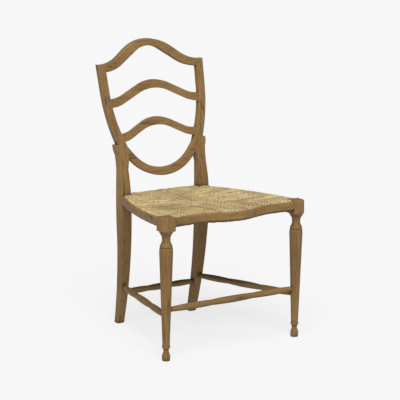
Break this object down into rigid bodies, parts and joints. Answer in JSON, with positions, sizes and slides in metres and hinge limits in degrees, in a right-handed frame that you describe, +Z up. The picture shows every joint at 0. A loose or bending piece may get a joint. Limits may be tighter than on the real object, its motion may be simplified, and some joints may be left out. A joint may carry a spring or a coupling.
{
  "type": "shield-back side chair",
  "caption": "Wooden dining chair with a shield-shaped open back, serpentine ladder slats, turned front legs and stretchers, and a woven rush seat with a double-curved front edge.",
  "frame": {"origin": "middle of the chair's footprint on the floor, the bottom centre of the bounding box", "axes": "+Z up, +Y towards the back of the chair, +X to the right of someone who looks at its front"},
  "size_m": [0.566, 0.6013, 0.984],
  "materials": {
    "oak_back": "weathered mid-brown oak, waxed, satin",
    "oak_crest": "weathered mid-brown oak, waxed, satin",
    "oak_slat": "weathered mid-brown oak, waxed, satin",
    "oak_turned": "weathered mid-brown oak, turned, waxed, satin",
    "oak_stretcher": "weathered mid-brown oak, turned, waxed, satin",
    "oak_strip": "weathered mid-brown oak, waxed, satin",
    "beech_inner": "plain beech, unfinished, hidden",
    "straw_stuffing": "packed dry straw",
    "rush": "hand-twisted natural rush, matte"
  },
  "bodies": {
    "root": {"back_post_left": "oak_back", "back_post_right": "oak_back", "crest_rail": "oak_crest", "upper_slat": "oak_slat", "lower_slat": "oak_slat", "shield_bow": "oak_slat", "crest_dowel_left": "beech_inner", "crest_dowel_right": "beech_inner", "bow_dowel_left": "beech_inner", "bow_dowel_right": "beech_inner", "front_leg_left": "oak_turned", "front_leg_right": "oak_turned", "front_stretcher": "oak_stretcher", "rear_stretcher": "oak_stretcher", "side_stretcher_left": "oak_stretcher", "side_stretcher_right": "oak_stretcher", "front_edge_strip": "oak_strip", "side_edge_strip_left": "oak_strip", "side_edge_strip_right": "oak_strip", "front_rail": "beech_inner", "back_rail": "beech_inner", "side_rail_left": "beech_inner", "side_rail_right": "beech_inner", "seat_stuffing": "straw_stuffing", "rush_seat": "rush"}
  },
  "joints": []
}
